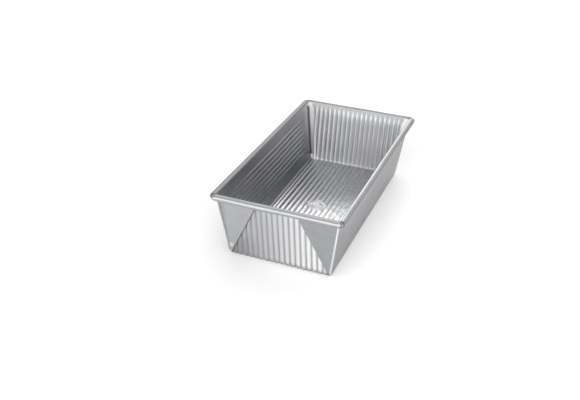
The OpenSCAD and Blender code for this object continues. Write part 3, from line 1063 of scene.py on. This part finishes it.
def wire_skin():
    """The wire, one run round the rim with its ends butted in the middle of the rear."""
    path, face = wire_path()
    angle = np.linspace(0, 2 * math.pi, WIRE_RING)
    ring_u, ring_z = np.cos(angle), np.sin(angle)
    radius = WIRE_D / 2
    normal = stacked((ring_u * face[:, 0, None], ring_u * face[:, 1, None], ring_z))
    centre = np.column_stack([path, np.full(len(path), BEAD_Z)])
    points = centre[:, None] + radius * normal
    run = np.concatenate([[0], np.cumsum(np.linalg.norm(np.diff(path, axis=0), axis=1))])
    uv = stacked((angle * radius, run[:, None]))
    skin = Skin()
    skin.net(points, normal, uv, 0.0)
    for end in (0, -1):
        middle = points[end].mean(0)
        disc = np.stack([points[end], np.broadcast_to(middle, points[end].shape)])
        flat = np.broadcast_to([-np.sign(middle[0]), 0, 0], disc.shape)
        skin.net(disc, flat, np.stack([uv[end], uv[end]]), 0.0)
    return skin


finished(wire_skin(), "bent_rim_wire", "rim_wire", WIRE)

# ---------------------------------------------------------------- floor, light and camera
PAPER, PAPER_ROUGH = (0.93, 0.93, 0.93, 1.0), 0.9
# Half the size of the floor, in metres
FLOOR_HALF = 40.0
# Broad soft sources all round, as azimuth, elevation and brightness. Azimuth runs from +X to +Y.
SOURCES = (
    (0, 90, 0.42), (90, 55, 1.48), (135, 55, 0.50), (45, 20, 0.60), (90, 20, 1.43),
    (270, 20, 4.20), (315, 20, 2.10),
)
SOURCE_NARROWING = 8.0
# A low soft sun, as azimuth, elevation and power
LOW_SUN = (225, 15, 0.80)
SUN_ANGLE = math.radians(24)
# A small light box at the right: its place, the point it is turned to, its size and its power
BOX_PLACE, BOX_AIM, BOX_SIZE, BOX_POWER = (0.50, -0.05, 0.20), (0.1, 0.0, 0.0), (0.15, 0.15), 0.43
# The camera that was fitted to the photo, in metres, with the directions to its right and ahead
CAMERA_PLACE = (0.2565, -0.7500, 0.4671)
CAMERA_RIGHT, CAMERA_AHEAD = (0.9277, 0.3729, 0.0174), (-0.3154, 0.8079, -0.4978)
CAMERA_LENS, CAMERA_SENSOR, CAMERA_CLIP = 50.11, 36.0, 0.01


def plain_floor():
    """A wide sheet of white paper under the pan."""
    material = bpy.data.materials.new("floor_paper")
    t = Tree(material)
    t.end(t.node("ShaderNodeBsdfPrincipled", Base_Color=PAPER, Roughness=PAPER_ROUGH))
    mesh = bpy.data.meshes.new("floor")
    corners = [(x * FLOOR_HALF, y * FLOOR_HALF, 0) for x, y in ((-1, -1), (1, -1), (1, 1), (-1, 1))]
    mesh.from_pydata(corners, [], [(0, 1, 2, 3)])
    mesh.materials.append(material)
    return linked("floor", mesh)


def area_light(name, place, aim, size, power):
    """A rectangular light, turned to the point aim."""
    light = bpy.data.lights.new(name, "AREA")
    light.shape = "RECTANGLE"
    light.size, light.size_y = size
    light.energy = power
    obj = linked(name, light)
    obj.location = place
    obj.rotation_euler = (Vector(place) - Vector(aim)).to_track_quat("Z", "Y").to_euler()


def direction(azimuth, elevation):
    """Unit vector towards this azimuth and elevation, both in degrees."""
    turn, rise = math.radians(azimuth), math.radians(elevation)
    flat = math.cos(rise)
    return Vector((math.cos(turn) * flat, math.sin(turn) * flat, math.sin(rise)))


def studio_world():
    """Soft surroundings: a few broad bright zones that run into each other."""
    world = bpy.data.worlds.new("studio")
    t = Tree(world)
    way = t.tree.nodes.new("ShaderNodeTexCoord")
    total = 0.0
    for azimuth, elevation, brightness in SOURCES:
        towards = t.tree.nodes.new("ShaderNodeVectorMath")
        towards.operation = "DOT_PRODUCT"
        t.feed(towards.inputs[0], way.outputs["Generated"])
        towards.inputs[1].default_value = direction(azimuth, elevation)
        off = t.maths("SUBTRACT", towards.outputs["Value"], 1.0)
        zone = t.maths("EXPONENT", t.maths("MULTIPLY", off, SOURCE_NARROWING), 0.0)
        total = t.maths("MULTIPLY_ADD", zone, brightness, total)
    t.end(t.node("ShaderNodeBackground", Color=total), "ShaderNodeOutputWorld")
    return world


def low_sun(name, azimuth, elevation, power):
    """A distant light with soft shadows, shining from this azimuth and elevation."""
    light = bpy.data.lights.new(name, "SUN")
    light.energy = power
    light.angle = SUN_ANGLE
    obj = linked(name, light)
    obj.rotation_euler = direction(azimuth, elevation).to_track_quat("Z", "Y").to_euler()


def photo_camera():
    """The camera, with its three axes made exactly square to each other."""
    camera = bpy.data.cameras.new("camera")
    camera.lens = CAMERA_LENS
    camera.sensor_width = CAMERA_SENSOR
    camera.clip_start = CAMERA_CLIP
    forward = Vector(CAMERA_AHEAD).normalized()
    up = Vector(CAMERA_RIGHT).normalized().cross(forward).normalized()
    right = forward.cross(up).normalized()
    turn = Matrix((right, up, -forward)).transposed().to_4x4()
    obj = linked("camera", camera)
    obj.matrix_world = Matrix.Translation(CAMERA_PLACE) @ turn
    return obj


plain_floor()
area_light("right_box", BOX_PLACE, BOX_AIM, BOX_SIZE, BOX_POWER)
low_sun("low_sun", *LOW_SUN)
scene = bpy.context.scene
scene.world = studio_world()
scene.view_settings.view_transform = "Standard"
scene.view_settings.look = "None"
scene.camera = photo_camera()
